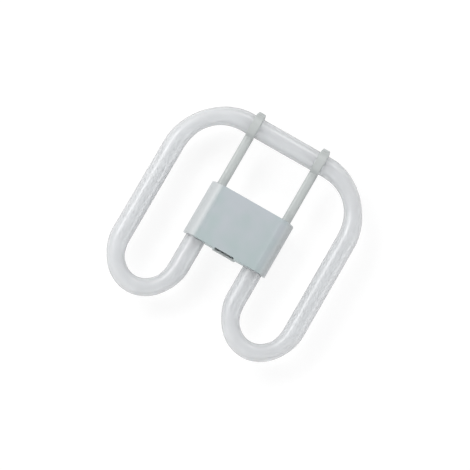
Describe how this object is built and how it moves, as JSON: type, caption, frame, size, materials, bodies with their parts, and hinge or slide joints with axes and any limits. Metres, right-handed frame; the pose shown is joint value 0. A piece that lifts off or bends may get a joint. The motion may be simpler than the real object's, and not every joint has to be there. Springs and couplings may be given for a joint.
{
  "type": "square compact fluorescent lamp",
  "caption": "Flat square fluorescent lamp: bent white glass tube in a double loop, moulded cap with latch slot, and slim support arms clipped to the tube.",
  "frame": {"origin": "middle of the cap's rear face, on the blade between the pins, where the lamp lies on a surface", "axes": "+X across the lamp, +Y towards the support arms, +Z out of the lighting side"},
  "size_m": [0.138, 0.141, 0.0275],
  "materials": {
    "coated_glass": "smooth gloss over white phosphor coating",
    "capping_cement": "matt",
    "cover_plastic": "satin moulding",
    "body_plastic": "satin moulding",
    "arm_plastic": "satin moulding",
    "pin_brass": "turned",
    "lead_wire": "drawn wire",
    "starter_glass": "clear glass",
    "capacitor_coating": "dipped coating"
  },
  "bodies": {
    "root": {"discharge_tube": "coated_glass", "cement_collar_left": "capping_cement", "cement_collar_right": "capping_cement", "cap_cover": "cover_plastic", "cap_body": "body_plastic", "support_arm_left": "arm_plastic", "support_arm_right": "arm_plastic", "contact_pin_left": "pin_brass", "contact_pin_right": "pin_brass", "lead_pin_left": "lead_wire", "lead_pin_right": "lead_wire", "lead_starter_left": "lead_wire", "lead_starter_right": "lead_wire", "starter_bottle": "starter_glass", "suppression_capacitor": "capacitor_coating"}
  },
  "joints": []
}
